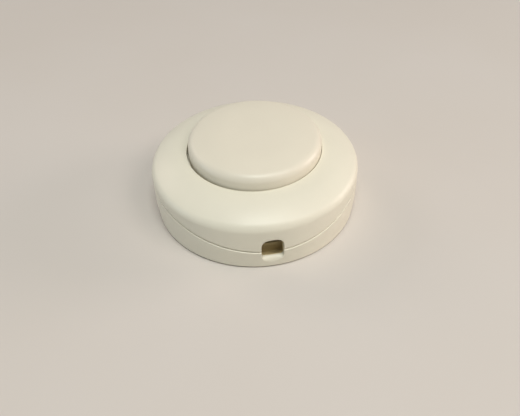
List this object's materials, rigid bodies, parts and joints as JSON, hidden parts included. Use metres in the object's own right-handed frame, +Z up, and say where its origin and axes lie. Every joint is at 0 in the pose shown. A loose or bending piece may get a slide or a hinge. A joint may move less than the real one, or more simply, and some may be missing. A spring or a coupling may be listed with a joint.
{
  "type": "round in-line foot switch",
  "caption": "Round in-line foot switch for a lamp cord: split shell with a curved seam, domed push button, cord slots front and rear, rotary ratchet contact mechanism inside.",
  "frame": {"origin": "centre of the base's foot ring, on the floor plane that the switch stands on", "axes": "+Z up through the button, Y along the cord's path with the front slot at -Y, X across it through the two housing screws"},
  "size_m": [0.06, 0.06, 0.0243],
  "materials": {
    "housing_plastic": "satin cream",
    "button_plastic": "satin cream, a shade deeper",
    "inner_plastic": "matte off-white",
    "contact_brass": "bright stamped",
    "spring_steel": "drawn wire",
    "screw_steel": "zinc plated"
  },
  "bodies": {
    "housing": {"base_shell": "housing_plastic", "top_cover": "housing_plastic", "return_spring": "spring_steel", "pivot_pin": "spring_steel", "contact_strip_front": "contact_brass", "contact_strip_rear": "contact_brass", "line_terminal_front": "contact_brass", "line_terminal_rear": "contact_brass", "neutral_link": "contact_brass", "cord_clamp_front": "inner_plastic", "cord_clamp_rear": "inner_plastic", "terminal_screw_front_left": "screw_steel", "terminal_screw_front_right": "screw_steel", "terminal_screw_rear_left": "screw_steel", "terminal_screw_rear_right": "screw_steel", "clamp_screw_front_left": "screw_steel", "clamp_screw_front_right": "screw_steel", "clamp_screw_rear_left": "screw_steel", "clamp_screw_rear_right": "screw_steel", "housing_screw_left": "screw_steel", "housing_screw_right": "screw_steel"},
    "button": {"push_button": "button_plastic", "plunger": "inner_plastic"},
    "rotor": {"contact_rotor": "inner_plastic", "contact_bridge": "contact_brass"}
  },
  "joints": [
    {"name": "button_press", "type": "slide", "parent": "housing", "child": "button", "axis": [0, 0, -1], "range_m": [0, 0.0045], "stiffness_N_per_m": 2000, "deforming": ["return_spring"]},
    {"name": "rotor_turn", "type": "hinge", "parent": "housing", "child": "rotor", "pos_m": [0, 0, 0.005], "axis": [0, 0, 1], "continuous": true}
  ]
}
